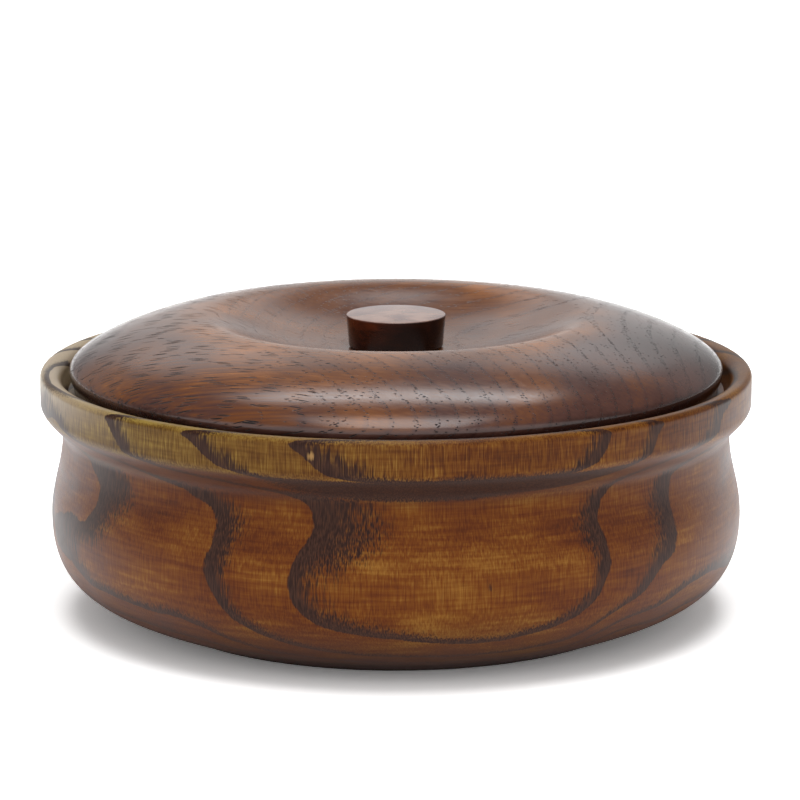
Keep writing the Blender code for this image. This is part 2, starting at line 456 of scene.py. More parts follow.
# %% Helpers that are used more than once
def new_wood(name):
    """An empty wood: its material, its node tree, and a point of the block in millimetres."""
    material = bpy.data.materials.new(name)
    material.use_nodes = True
    tree = material.node_tree
    tree.nodes.clear()
    block = add(tree, "TexCoord")
    place = add(tree, "VectorMath", {0: block.outputs["Object"], "Scale": 1 / MM}, operation="SCALE")
    return material, tree, place


def pattern(tree, place, size, detail, seed):
    """Noise from 0 to 1 with blotches of the given size in millimetres along X, Y and Z."""
    scaled = add(tree, "VectorMath", {0: place, 1: size}, operation="DIVIDE")
    inputs = {"Vector": scaled, "W": seed, "Scale": 1.0, "Detail": detail}
    return add(tree, "TexNoise", inputs, noise_dimensions="4D")


def spot(tree, place, centre, start, end, amount, rest=0.0, fade="SMOOTHSTEP"):
    """The amount up to start mm from a centre, fading to the rest at end mm."""
    away = add(tree, "VectorMath", {0: place, 1: centre}, operation="DISTANCE").outputs["Value"]
    return add(
        tree,
        "MapRange",
        {"Value": away, "From Min": start, "From Max": end, "To Min": amount, "To Max": rest},
        interpolation_type=fade,
    )


def from_axis(tree, place):
    """The distance of a point from the axis on which its piece was turned, in millimetres."""
    flat = add(tree, "VectorMath", {0: place, 1: (1.0, 1.0, 0.0)}, operation="MULTIPLY")
    return add(tree, "VectorMath", {0: flat}, operation="LENGTH").outputs["Value"]


def finish_wood(material, tree, colour, height, depth, roughness, ior, facing):
    """Joins colour, relief and finish to the shader. facing is the gloss kept where it is seen face on."""
    relief = add(tree, "Bump", {"Height": height, "Distance": depth * MM, "Strength": 1.0})
    shader = add(
        tree,
        "BsdfPrincipled",
        {
            "Base Color": colour,
            "Roughness": roughness,
            "IOR": ior,
            "Specular Tint": (facing, facing, facing, 1.0),
            "Normal": relief,
        },
    )
    add(tree, "OutputMaterial", {"Surface": shader})
    print(material.name, "uses", len(tree.nodes), "nodes")


# %% [markdown]
# ## Growth rings
#
# A tree that adds the same area of wood every year makes wide rings near its pith and narrow ones
# outside, so the number of a ring grows with the square of the distance from the pith. A Mapping
# node set to Texture moves the block so that the pith is at its centre, turns it, and divides by a
# size, and the dot product of the result with itself is that square. Its whole part then counts
# rings, and the rest is the place within one ring, from its early wood to its late wood.

# %% Ring number
def ring_number(tree, place, pith, turn, sizes):
    """The squared distance of a point from the pith, where sizes are the distance of the first ring."""
    angles = [math.radians(angle) for angle in turn]
    moved = add(
        tree,
        "Mapping",
        {"Vector": place, "Location": pith, "Rotation": angles, "Scale": sizes},
        vector_type="TEXTURE",
    )
    square = add(tree, "VectorMath", {0: moved, 1: moved}, operation="DOT_PRODUCT")
    return square.outputs["Value"]


# %% [markdown]
# ## Bowl wood
#
# The bowl is a ring-porous wood such as ash, stained brown and rubbed with a thin satin lacquer. The
# open early wood of each ring drank the stain and became a broad dark band, sharp on one side and
# broken into upright bristles on the other, where the last pores run out. The dense late wood stayed
# orange. Where the belly bulges through a few rings they show as nested ovals, as on a map.
# The rings could be drawn as bands around the bowl, but bands would not close into ovals.

# %% Bowl wood: rings
BOWL_PITH = (-1.6, -9.7, -3.6)
BOWL_TURN = (1.0, 0.0, 2.1)
BOWL_RING_SIZES = (41.6, 32.6, 79.8)
BOWL_FIRST_RING = 0.125
BOWL_WANDER_SIZE = (9.0, 9.0, 12.0)
BOWL_WANDER = 0.16
# Slow waves in the trunk: angle from the front in degrees, height, spread in mm, and rings gained.
BOWL_SWELLS = (
    (57.0, 0.0, 22.0, -0.80),
    (52.0, 5.0, 34.0, -0.53),
    (40.0, 3.0, 14.0, -1.60),
    (44.0, 28.0, 16.0, -0.21),
    (28.0, 78.0, 21.0, 0.50),
    (1.0, 32.0, 19.0, -0.42),
    (-25.0, 37.0, 33.0, -0.73),
    (-33.0, 38.0, 16.0, -0.20),
    (-36.0, 60.0, 16.0, 0.09),
    (-38.0, 1.0, 20.0, -0.80),
    (-51.0, -1.0, 16.0, -0.80),
    (-52.0, 60.0, 9.0, -0.20),
    (-60.0, 48.0, 9.0, -0.21),
    (-60.0, 28.0, 9.0, 0.20),
    (-68.0, 64.0, 9.0, -0.37),
    (-72.0, 27.0, 12.0, 0.22),
    (-88.0, 28.0, 13.0, 0.28),
)

# Ash, turned, stained and lacquered: warm brown between dark bands, under a soft and wide sheen.
bowl_wood, tree, place = new_wood("ash_turned_stained_and_lacquered")
rings = ring_number(tree, place, BOWL_PITH, BOWL_TURN, BOWL_RING_SIZES)
for angle, height, spread, gain in BOWL_SWELLS:
    side = math.radians(angle)
    centre = (belly_radius * math.sin(side), -belly_radius * math.cos(side), height)
    swell = spot(tree, place, centre, 0.0, 2 * spread, gain, fade="SMOOTHERSTEP")
    rings = add(tree, "Math", {0: rings, 1: swell}, operation="ADD")
wander = pattern(tree, place, BOWL_WANDER_SIZE, detail=2.0, seed=1.0)
rings = add(tree, "Math", {0: wander, 1: BOWL_WANDER, 2: rings}, operation="MULTIPLY_ADD")
rings = add(tree, "Math", {0: rings, 1: BOWL_FIRST_RING}, operation="ADD")
phase = add(tree, "Math", {0: rings}, operation="FRACT")
print("bowl rings bend at", len(BOWL_SWELLS), "places")

# %% Bowl wood: how wide the early wood is
BAND_SHARE = 0.40
# Where the early wood is wider: a centre, and the share of a ring that is gained there.
WIDE_PLACES = (((-17.0, -112.0, 58.0), 0.55), ((-94.0, -68.0, 50.0), 0.35))
WIDE_START = 8.0
WIDE_END = 26.0

axes = add(tree, "SeparateXYZ", {0: place})
level = axes.outputs["Z"]
across = axes.outputs["X"]
band_end = BAND_SHARE
for centre, gain in WIDE_PLACES:
    wider = spot(tree, place, centre, WIDE_START, WIDE_END, gain)
    band_end = add(tree, "Math", {0: wider, 1: band_end}, operation="ADD")
print("early wood fills", BAND_SHARE, "of a ring, and more at", len(WIDE_PLACES), "places")

# %% Bowl wood: the dark band in the cove
# The cove runs along one ring, so the early wood lies in it as a lens: thick near the middle and
# thin towards both ends. The wood of the rim reaches a little way down into the cove.
RIM_WOOD_DROP = 2.4
RIM_WOOD_FADE = 1.2
COVE_PLACE = (24.0, -112.0, 67.0)
COVE_START = 30.0
COVE_END = 80.0
COVE_WIDEST = 4.0
COVE_LEAST = 1.0
COVE_MIDDLE = 11.0
COVE_TAPER = 0.0019
LENS_START = 0.6
LENS_FULL = 3.0

rim_wood_end = band_foot - RIM_WOOD_DROP
widened = spot(tree, place, COVE_PLACE, COVE_START, COVE_END, COVE_WIDEST, COVE_LEAST)
from_middle = add(tree, "Math", {0: across, 1: COVE_MIDDLE}, operation="SUBTRACT")
square = add(tree, "Math", {0: from_middle, 1: from_middle}, operation="MULTIPLY")
lens = add(tree, "Math", {0: square, 1: -COVE_TAPER, 2: level}, operation="MULTIPLY_ADD")
above_neck = add(
    tree,
    "MapRange",
    {"Value": lens, "From Min": neck_height + LENS_START, "From Max": neck_height + LENS_FULL},
)
under_rim = add(
    tree,
    "MapRange",
    {
        "Value": level,
        "From Min": rim_wood_end - RIM_WOOD_FADE,
        "From Max": rim_wood_end,
        "To Min": 1.0,
        "To Max": 0.0,
    },
)
cove = add(tree, "Math", {0: above_neck, 1: under_rim}, operation="MULTIPLY")
band_end = add(tree, "Math", {0: cove, 1: widened, 2: band_end}, operation="MULTIPLY_ADD")
print("rim wood ends at height", round(rim_wood_end, 1), "mm")

# %% Bowl wood: early wood and its bristles
# The pores of ash are about 0.2 mm wide. The bristles are drawn twice as wide, so that they show.
BRISTLE_SIZE = (0.4, 0.4, 5.0)
BRISTLE_REACH = 0.6
# Noise keeps near its middle, so the part between these two is stretched to the full range.
BRISTLE_LOW = 0.36
BRISTLE_HIGH = 0.64
SHARP_SIDE = 0.975
DARK_START = 0.45
DARK_FULL = 1.1

early = add(
    tree,
    "MapRange",
    {"Value": phase, "From Min": 0.0, "From Max": band_end, "To Min": 1.0, "To Max": 0.0},
    interpolation_type="SMOOTHSTEP",
)
sharp = add(tree, "MapRange", {"Value": phase, "From Min": SHARP_SIDE, "From Max": 1.0})
early = add(tree, "Math", {0: early, 1: sharp}, operation="MAXIMUM")
strokes = pattern(tree, place, BRISTLE_SIZE, detail=1.0, seed=2.0)
strokes = add(tree, "MapRange", {"Value": strokes, "From Min": BRISTLE_LOW, "From Max": BRISTLE_HIGH})
bristled = add(tree, "Math", {0: strokes, 1: BRISTLE_REACH, 2: early}, operation="MULTIPLY_ADD")
dark = add(
    tree,
    "MapRange",
    {"Value": bristled, "From Min": DARK_START, "From Max": DARK_FULL},
    interpolation_type="SMOOTHSTEP",
)
dark_colour = add(tree, "ValToRGB", {"Fac": strokes}, stops=((0.0, "40281E"), (1.0, "27140F")))
print("bristles are", BRISTLE_SIZE[0], "mm wide")

# %% [markdown]
# ## Stain, painted shade and painted highlights on the bowl
#
# The late wood took the stain unevenly, along level streaks and upright pores that cross like the
# threads of linen. The cove and the foot are painted darker, as the shade that falls under the rim and
# under the belly. The rim is sapwood, more golden. Its top is painted palest, as a highlight, and its
# far left is painted pale, as a reflection. A soft golden highlight is painted low on the belly. All
# this could be painted on an unwrapped mesh. Here each part of it is a mask that is worked out from a
# point's place in the block, so it needs no image and stays sharp close up.

# %% Bowl wood: stain on the late wood, and a painted highlight
# Streaks and pores are both drawn coarser than real, so that they show.
STREAK_SIZE = (16.0, 16.0, 1.3)
STREAK_SHARE = 0.8
LINEN_SIZE = (0.4, 0.4, 9.0)
LINEN_SHARE = 0.9
CLOUD_SIZE = (26.0, 26.0, 12.0)
# A soft highlight is painted low on the front of the belly: its centre, where it fades, and how much paler.
HIGHLIGHT_PLACE = (24.0, -112.0, 22.0)
HIGHLIGHT_START = 8.0
HIGHLIGHT_END = 60.0
HIGHLIGHT_GAIN = 0.12
TONE_LOW = 0.9
TONE_HIGH = 1.8

streaks = pattern(tree, place, STREAK_SIZE, detail=4.0, seed=3.0)
linen = pattern(tree, place, LINEN_SIZE, detail=2.0, seed=4.0)
clouds = pattern(tree, place, CLOUD_SIZE, detail=3.0, seed=5.0)
tone = add(tree, "Math", {0: streaks, 1: STREAK_SHARE, 2: clouds}, operation="MULTIPLY_ADD")
tone = add(tree, "Math", {0: linen, 1: LINEN_SHARE, 2: tone}, operation="MULTIPLY_ADD")
# The painted highlight makes the stain paler around its centre.
painted_highlight = spot(tree, place, HIGHLIGHT_PLACE, HIGHLIGHT_START, HIGHLIGHT_END, HIGHLIGHT_GAIN)
tone = add(tree, "Math", {0: tone, 1: painted_highlight}, operation="ADD")
tone = add(tree, "MapRange", {"Value": tone, "From Min": TONE_LOW, "From Max": TONE_HIGH})
print("streaks are", STREAK_SIZE[2], "mm high and", STREAK_SIZE[0], "mm long")

# %% Bowl wood: pores on the rim
# On the rim the pores are plainer, but hardly so on its left.
RIM_FADE = 1.0
RIM_PORES = 0.26
RIM_BALANCE = 0.1
PLAIN_START = -40.0
PLAIN_FULL = 5.0
PLAIN_LEFT = 0.1

rim = add(tree, "MapRange", {"Value": level, "From Min": rim_wood_end - RIM_FADE, "From Max": rim_wood_end})
plainer = add(tree, "Math", {0: strokes, 1: -RIM_PORES, 2: RIM_BALANCE}, operation="MULTIPLY_ADD")
rightward = add(
    tree,
    "MapRange",
    {"Value": across, "From Min": PLAIN_START, "From Max": PLAIN_FULL, "To Min": PLAIN_LEFT, "To Max": 1.0},
)
plainer = add(tree, "Math", {0: plainer, 1: rightward}, operation="MULTIPLY")
tone = add(tree, "Math", {0: rim, 1: plainer, 2: tone}, operation="MULTIPLY_ADD")
# This colour is the stain. Further down it also takes in painted highlights and painted shade.
stain_and_painted_light = add(
    tree,
    "ValToRGB",
    {"Fac": tone},
    stops=((0.0, "381606"), (0.35, "582807"), (0.65, "6D3B0D"), (1.0, "8C5F24")),
)
print("bowl stain is a blend of", len(stain_and_painted_light.color_ramp.elements), "browns")

# %% Bowl wood: golden rim
# The gold is strongest on the left. The top of the rim is painted palest, as the highlight on its rounded
# top.
RIM_STROKES = 0.35
SIDE_PALER = 0.2
TOP_HIGHLIGHT = 0.6
TOP_START = 1.6
TOP_FULL = 0.2
GOLD_LEFT = -90.0
GOLD_RIGHT = 20.0
GOLD_LEAST = 0.18

paler_with_top_highlight = add(
    tree,
    "MapRange",
    {
        "Value": level,
        "From Min": BOWL_HEIGHT - TOP_START,
        "From Max": BOWL_HEIGHT - TOP_FULL,
        "To Min": SIDE_PALER,
        "To Max": TOP_HIGHLIGHT,
    },
)
rim_tone = add(tree, "Math", {0: strokes, 1: -RIM_STROKES, 2: tone}, operation="MULTIPLY_ADD")
rim_tone = add(tree, "Math", {0: rim_tone, 1: paler_with_top_highlight}, operation="ADD")
rim_colour = add(
    tree,
    "ValToRGB",
    {"Fac": rim_tone},
    stops=((0.0, "40280E"), (0.4, "5E4318"), (0.7, "755A26"), (1.0, "907838")),
)
golden = add(
    tree,
    "MapRange",
    {"Value": across, "From Min": GOLD_LEFT, "From Max": GOLD_RIGHT, "To Min": 1.0, "To Max": GOLD_LEAST},
)
golden = add(tree, "Math", {0: rim, 1: golden}, operation="MULTIPLY")
stain_and_painted_light = add(tree, "Mix", {SHARE: golden, UNDER: stain_and_painted_light, OVER: rim_colour}, data_type="RGBA")
print("rim wood spans", round(BOWL_HEIGHT - rim_wood_end, 1), "mm")

# %% Bowl wood: painted reflection on the rim
# The rim's top at the far left is painted pale, as the reflection of the bright wall that it catches.
REFLECTION_SHARE = 0.95
REFLECTION_COLOUR = linear("B5A288")
REFLECTION_LEFT = -118.0
REFLECTION_RIGHT = -84.0
REFLECTION_TOP = 1.0

painted_reflection = add(tree, "MapRange", {"Value": level, "From Min": band_foot, "From Max": BOWL_HEIGHT - REFLECTION_TOP})
reflection_leftward = add(
    tree,
    "MapRange",
    {"Value": across, "From Min": REFLECTION_LEFT, "From Max": REFLECTION_RIGHT, "To Min": REFLECTION_SHARE, "To Max": 0.0},
)
painted_reflection = add(tree, "Math", {0: painted_reflection, 1: reflection_leftward}, operation="MULTIPLY")
stain_and_painted_light = add(tree, "Mix", {SHARE: painted_reflection, UNDER: stain_and_painted_light.outputs[MIXED], OVER: REFLECTION_COLOUR}, data_type="RGBA")
print("rim is worn over", REFLECTION_RIGHT - REFLECTION_LEFT, "mm")

# %% Bowl wood: painted shade in the cove
# The cove under the rim is painted darker, as the shade that falls in it.
COVE_SHADE = 0.45
COVE_SHADE_COLOUR = linear("38221C")
COVE_SHADE_BELOW = 2.0
COVE_SHADE_FULL = 2.5

# hollow is this painted shade: it rises from just below the neck and stops under the rim's wood.
hollow = add(
    tree,
    "MapRange",
    {
        "Value": level,
        "From Min": neck_height - COVE_SHADE_BELOW,
        "From Max": neck_height + COVE_SHADE_FULL,
        "To Min": 0.0,
        "To Max": COVE_SHADE,
    },
)
hollow = add(tree, "Math", {0: hollow, 1: under_rim}, operation="MULTIPLY")
stain_and_painted_light = add(tree, "Mix", {SHARE: hollow, UNDER: stain_and_painted_light.outputs[MIXED], OVER: COVE_SHADE_COLOUR}, data_type="RGBA")
print("cove stain starts at height", round(neck_height - COVE_SHADE_BELOW, 1), "mm")

# %% Bowl wood: painted shade round the foot
# The outside of the foot is painted darker towards the floor, as the shade under the belly.
FOOT_SHADE = 0.95
FOOT_SHADE_COLOUR = linear("2A1711")
FOOT_SHADE_LOW = 2.0
FOOT_SHADE_TOP = 30.0
# The outside leans out by so many mm for each mm of height. The inside lies behind it and stays clear.
FOOT_LEAN = 1.3
CLEAR_BEHIND = 8.0
FULL_BEHIND = 2.0

radius = from_axis(tree, place)
outward = add(tree, "Math", {0: level, 1: -FOOT_LEAN, 2: radius}, operation="MULTIPLY_ADD")
outside = add(
    tree,
    "MapRange",
    {"Value": outward, "From Min": base_radius - CLEAR_BEHIND, "From Max": base_radius - FULL_BEHIND},
)
# foot is this painted shade. Further down it also makes the lacquer duller.
foot = add(
    tree,
    "MapRange",
    {
        "Value": level,
        "From Min": FOOT_SHADE_LOW,
        "From Max": FOOT_SHADE_TOP,
        "To Min": FOOT_SHADE,
        "To Max": 0.0,
    },
    interpolation_type="SMOOTHSTEP",
)
foot = add(tree, "Math", {0: foot, 1: outside}, operation="MULTIPLY")
stain_and_painted_light = add(tree, "Mix", {SHARE: foot, UNDER: stain_and_painted_light.outputs[MIXED], OVER: FOOT_SHADE_COLOUR}, data_type="RGBA")
colour = add(tree, "Mix", {SHARE: dark, UNDER: stain_and_painted_light.outputs[MIXED], OVER: dark_colour}, data_type="RGBA")
print("foot stain fades out at height", FOOT_SHADE_TOP, "mm")

# %% Bowl wood: a pale fleck on the rim
FLECK_PLACE = (-26.3, -117.1, 78.8)
FLECK_CORE = 0.9
FLECK_EDGE = 1.9
FLECK_RAGGED = 0.9
FLECK_SHARE = 0.8
FLECK_WOOD = linear("A9824F")

away = add(tree, "VectorMath", {0: place, 1: FLECK_PLACE}, operation="DISTANCE").outputs["Value"]
ragged = add(tree, "Math", {0: strokes, 1: FLECK_RAGGED, 2: away}, operation="MULTIPLY_ADD")
fleck = add(
    tree,
    "MapRange",
    {"Value": ragged, "From Min": FLECK_CORE, "From Max": FLECK_EDGE, "To Min": FLECK_SHARE, "To Max": 0.0},
)
colour = add(tree, "Mix", {SHARE: fleck, UNDER: colour.outputs[MIXED], OVER: FLECK_WOOD}, data_type="RGBA")
print("fleck reaches", FLECK_EDGE, "mm from its middle")

# %% Bowl wood: satin lacquer
# Thin lacquer gives a wide soft sheen, a little uneven, and the foot stays duller.
LACQUER_SMOOTH = 0.32
LACQUER_DULL = 0.44
FOOT_DULLER = 0.5
# Most of a noise pattern lies between these two.
NOISE_LOW = 0.3
NOISE_HIGH = 0.7

sheen = add(
    tree,
    "MapRange",
    {
        "Value": clouds,
        "From Min": NOISE_LOW,
        "From Max": NOISE_HIGH,
        "To Min": LACQUER_SMOOTH,
        "To Max": LACQUER_DULL,
    },
)
sheen = add(tree, "Math", {0: foot, 1: FOOT_DULLER, 2: sheen}, operation="MULTIPLY_ADD")
height = add(tree, "Math", {0: 1.0, 1: dark}, operation="SUBTRACT")
height = add(tree, "Math", {0: strokes, 1: height}, operation="MULTIPLY")
colour = colour.outputs[MIXED]
finish_wood(bowl_wood, tree, colour, height, depth=0.015, roughness=sheen, ior=1.45, facing=0.25)
bowl.data.materials.append(bowl_wood)

# %% [markdown]
# ## Lid wood
#
# The lid comes from a slower part of the tree and took a darker, plum brown stain. Its pores are the
# plainest detail: rows of black dots where the surface cuts across the fibre, on the front and the
# right, and dashes where it runs along the fibre, on the left. A Voronoi texture gives both: its cells
# are drawn out along the fibre, and a random few of them, most of all in the early wood, hold a pore.
# One pattern could serve for both, but its dashes would smear where they lie flat in the surface.

# %% Lid wood: rings
LID_PITH = (7.0, 31.0, 10.0)
LID_TURN = (0.0, 72.4, -18.5)
# The last size runs along the trunk. It is so large that the rings are straight tubes.
LID_RING_SIZES = (24.3, 34.6, 1e6)
LID_WANDER_SIZE = (30.0, 30.0, 30.0)
LID_WANDER = 0.6
# The share of cells that hold a pore: in early wood, and in late wood at the left and at the right.
EARLY_PORES = 0.95
LEFT_PORES = 0.5
RIGHT_PORES = 0.09
LEFT_PLACE = -60.0
RIGHT_PLACE = 0.0
# Where in a ring the early wood starts to thin out, and where it ends.
EARLY_FULL = 0.06
EARLY_END = 0.32

# Ash, dark stained and lacquered: plum brown and glossy, with black pores and clear highlights.
lid_wood, tree, place = new_wood("ash_dark_stained_and_lacquered")
wander = pattern(tree, place, LID_WANDER_SIZE, detail=2.0, seed=11.0)
rings = ring_number(tree, place, LID_PITH, LID_TURN, LID_RING_SIZES)
rings = add(tree, "Math", {0: wander, 1: LID_WANDER, 2: rings}, operation="MULTIPLY_ADD")
phase = add(tree, "Math", {0: rings}, operation="FRACT")
axes = add(tree, "SeparateXYZ", {0: place})
across = axes.outputs["X"]
level = axes.outputs["Z"]
late_pores = add(
    tree,
    "MapRange",
    {
        "Value": across,
        "From Min": LEFT_PLACE,
        "From Max": RIGHT_PLACE,
        "To Min": LEFT_PORES,
        "To Max": RIGHT_PORES,
    },
)
early = add(
    tree,
    "MapRange",
    {
        "Value": phase,
        "From Min": EARLY_FULL,
        "From Max": EARLY_END,
        "To Min": EARLY_PORES,
        "To Max": late_pores,
    },
    interpolation_type="SMOOTHSTEP",
)
print("lid rings lean by", LID_TURN[1], "degrees")

# %% Lid wood: cells for dots and dashes
# Sizes of a cell in mm. A real pore is about 0.2 mm wide. These are wider, so that they show.
DOT_SPACING = 0.62
DOT_LENGTH = 10.0
DASH_SPACING = 0.8
DASH_LENGTH = 13.0
DASH_TURN = -25.0

dots = add(
    tree,
    "Mapping",
    {
        "Vector": place,
        "Location": LID_PITH,
        "Rotation": [math.radians(angle) for angle in LID_TURN],
        "Scale": (DOT_SPACING, DOT_SPACING, DOT_LENGTH),
    },
    vector_type="TEXTURE",
)
dots = add(tree, "TexVoronoi", {"Vector": dots, "Scale": 1.0}, voronoi_dimensions="3D")
# Dashes are seen lengthwise, so their height in the block does not matter.
dashes = add(
    tree,
    "Mapping",
    {
        "Vector": place,
        "Rotation": (0.0, 0.0, math.radians(DASH_TURN)),
        "Scale": (DASH_LENGTH, DASH_SPACING, 1.0),
    },
    vector_type="TEXTURE",
)
dashes = add(tree, "TexVoronoi", {"Vector": dashes, "Scale": 1.0}, voronoi_dimensions="2D")
print("cells are", DOT_SPACING, "mm wide for dots and", DASH_SPACING, "mm for dashes")

# %% Lid wood: pores
# How much of its cell a pore fills, from the middle, and where in that its soft edge starts.
DOT_REACH = 0.38
DASH_REACH = 0.24
SOFT_EDGE = 0.7
# Dashes give way to dots between these places across and these heights. A few are left out.
DASH_LEFT = -48.0
DASH_RIGHT = -15.0
DASH_LOW = 84.0
DASH_HIGH = 88.0
DASHES_KEPT = 0.9
# In the dish and on the crest the lacquer has filled most pores.
FILLED_RADIUS = 54.0
OPEN_RADIUS = 76.0
FILLED_DEPTH = 0.35

lengthwise = add(
    tree,
    "MapRange",
    {"Value": across, "From Min": DASH_LEFT, "From Max": DASH_RIGHT, "To Min": 1.0, "To Max": 0.0},
)
on_dome = add(tree, "MapRange", {"Value": level, "From Min": DASH_LOW, "From Max": DASH_HIGH})
lengthwise = add(tree, "Math", {0: lengthwise, 1: on_dome}, operation="MULTIPLY")
crosswise = add(tree, "Math", {0: 1.0, 1: lengthwise}, operation="SUBTRACT")
lengthwise = add(tree, "Math", {0: lengthwise, 1: DASHES_KEPT}, operation="MULTIPLY")
kinds = []
for cells, pore_reach, share in ((dots, DOT_REACH, crosswise), (dashes, DASH_REACH, lengthwise)):
    chance = add(tree, "SeparateColor", {0: cells.outputs["Color"]})
    limit = add(tree, "Math", {0: early, 1: share}, operation="MULTIPLY")
    kept = add(tree, "Math", {0: chance, 1: limit}, operation="LESS_THAN")
    hole = add(
        tree,
        "MapRange",
        {
            "Value": cells.outputs["Distance"],
            "From Min": pore_reach * SOFT_EDGE,
            "From Max": pore_reach,
            "To Min": 1.0,
            "To Max": 0.0,
        },
        interpolation_type="SMOOTHSTEP",
    )
    kinds.append(add(tree, "Math", {0: hole, 1: kept}, operation="MULTIPLY"))
pores = add(tree, "Math", {0: kinds[0], 1: kinds[1]}, operation="MAXIMUM")
radius = from_axis(tree, place)
opened = add(
    tree,
    "MapRange",
    {
        "Value": radius,
        "From Min": FILLED_RADIUS,
        "From Max": OPEN_RADIUS,
        "To Min": FILLED_DEPTH,
        "To Max": 1.0,
    },
)
pores = add(tree, "Math", {0: pores, 1: opened}, operation="MULTIPLY")
print("pores are open outside a radius of", OPEN_RADIUS, "mm")

# %% [markdown]
# ## Stain, painted shade and lacquer on the lid
#
# The lid is darker towards its right. Round its lower edge it is painted darker, as the shade where it
# sinks into the rim, and a painted dark band on its front, above the upper bright line, stands for a
# dark reflection. Rubbing took some of the stain off the crest, and a streaky place at the front left
# stayed golden. One even brown would be simpler, but the eye reads these slow changes as one block that
# was turned and rubbed. The lacquer is thicker than on the bowl and polished, so it shows the studio's
# lights as clear lines.

# %% Lid wood: streaks and pale places
LID_STREAK_TURN = (0.0, 84.0, -18.5)
LID_STREAK_SIZE = (1.0, 1.0, 30.0)
LID_STREAK_SHARE = 0.3
LID_CLOUD_SIZE = (34.0, 34.0, 20.0)
EARLY_DARKER = 0.08
PALE_PLACE = (-60.0, -70.0, 84.0)
PALE_START = 6.0
PALE_END = 60.0
PALE_GAIN = 0.26
FLAME_LOW = 0.30
FLAME_HIGH = 0.78

along = add(
    tree,
    "Mapping",
    {"Vector": place, "Rotation": [math.radians(angle) for angle in LID_STREAK_TURN]},
    vector_type="TEXTURE",
)
streaks = pattern(tree, along, LID_STREAK_SIZE, detail=3.0, seed=12.0)
clouds = pattern(tree, place, LID_CLOUD_SIZE, detail=3.0, seed=13.0)
tone = add(tree, "Math", {0: streaks, 1: LID_STREAK_SHARE, 2: clouds}, operation="MULTIPLY_ADD")
tone = add(tree, "Math", {0: early, 1: -EARLY_DARKER, 2: tone}, operation="MULTIPLY_ADD")
pale = spot(tree, place, PALE_PLACE, PALE_START, PALE_END, PALE_GAIN)
flame = add(tree, "MapRange", {"Value": streaks, "From Min": FLAME_LOW, "From Max": FLAME_HIGH})
tone = add(tree, "Math", {0: pale, 1: flame, 2: tone}, operation="MULTIPLY_ADD")
print("lid streaks are", LID_STREAK_SIZE[0], "mm wide and", LID_STREAK_SIZE[2], "mm long")

# %% Lid wood: rubbed crest and dark places
# Radii in mm: the crest is rubbed inside the first pair, and less so inside the second, in the dish.
CREST_START = 68.0
CREST_END = 82.0
DISH_START = 40.0
DISH_END = 60.0
RUBBED = 0.26
DISH_RUBBED = 0.4
# Darker places: centre, where the fading starts and ends in mm, and how much darker. The first is a
# painted dark band on the lid's front, above its upper bright line, as a dark reflection. The second
# darkens the back of the dish.
DARK_PLACES = (((14.0, -91.0, 93.0), 4.0, 26.0, -0.14), ((0.0, 54.0, 93.0), 12.0, 52.0, -0.10))

rubbed = add(
    tree,
    "MapRange",
    {"Value": radius, "From Min": CREST_START, "From Max": CREST_END, "To Min": RUBBED, "To Max": 0.0},
    interpolation_type="SMOOTHSTEP",
)
in_dish = add(
    tree,
    "MapRange",
    {"Value": radius, "From Min": DISH_START, "From Max": DISH_END, "To Min": DISH_RUBBED, "To Max": 1.0},
)
tone = add(tree, "Math", {0: rubbed, 1: in_dish, 2: tone}, operation="MULTIPLY_ADD")
for centre, start, end, amount in DARK_PLACES:
    darker = spot(tree, place, centre, start, end, amount)
    tone = add(tree, "Math", {0: tone, 1: darker}, operation="ADD")
print("lid has", len(DARK_PLACES), "dark places")

# %% Lid wood: stain, and painted shade at the edge
RIGHT_START = 40.0
RIGHT_FULL = 105.0
RIGHT_DARKER = 0.3
LEFT_PALER = 0.04
# Round its lower edge the lid is painted darker, as the shade where it sinks into the rim.
EDGE_LOW = 82.5
EDGE_HIGH = 86.0
EDGE_SHADE = 0.4
LID_TONE_LOW = 0.25
LID_TONE_HIGH = 1.05
PORE_COLOUR = linear("140C0B")

rightward = add(
    tree,
    "MapRange",
    {
        "Value": across,
        "From Min": RIGHT_START,
        "From Max": RIGHT_FULL,
        "To Min": LEFT_PALER,
        "To Max": -RIGHT_DARKER,
    },
)
tone = add(tree, "Math", {0: tone, 1: rightward}, operation="ADD")
edge_shade = add(
    tree,
    "MapRange",
    {"Value": level, "From Min": EDGE_LOW, "From Max": EDGE_HIGH, "To Min": -EDGE_SHADE, "To Max": 0.0},
)
tone = add(tree, "Math", {0: tone, 1: edge_shade}, operation="ADD")
tone = add(tree, "MapRange", {"Value": tone, "From Min": LID_TONE_LOW, "From Max": LID_TONE_HIGH})
# This colour is the stain, with the painted shade of the edge and a painted dark reflection in it.
stain_and_painted_light = add(
    tree,
    "ValToRGB",
    {"Fac": tone},
    stops=((0.0, "2E1A16"), (0.4, "4F332C"), (0.7, "6C3F20"), (1.0, "96581C")),
)
colour = add(tree, "Mix", {SHARE: pores, UNDER: stain_and_painted_light, OVER: PORE_COLOUR}, data_type="RGBA")
print("lid stain is a blend of", len(stain_and_painted_light.color_ramp.elements), "browns")

# %% Lid wood: gloss lacquer
GLOSS_SMOOTH = 0.16
GLOSS_DULL = 0.24
STREAK_RELIEF = 0.15

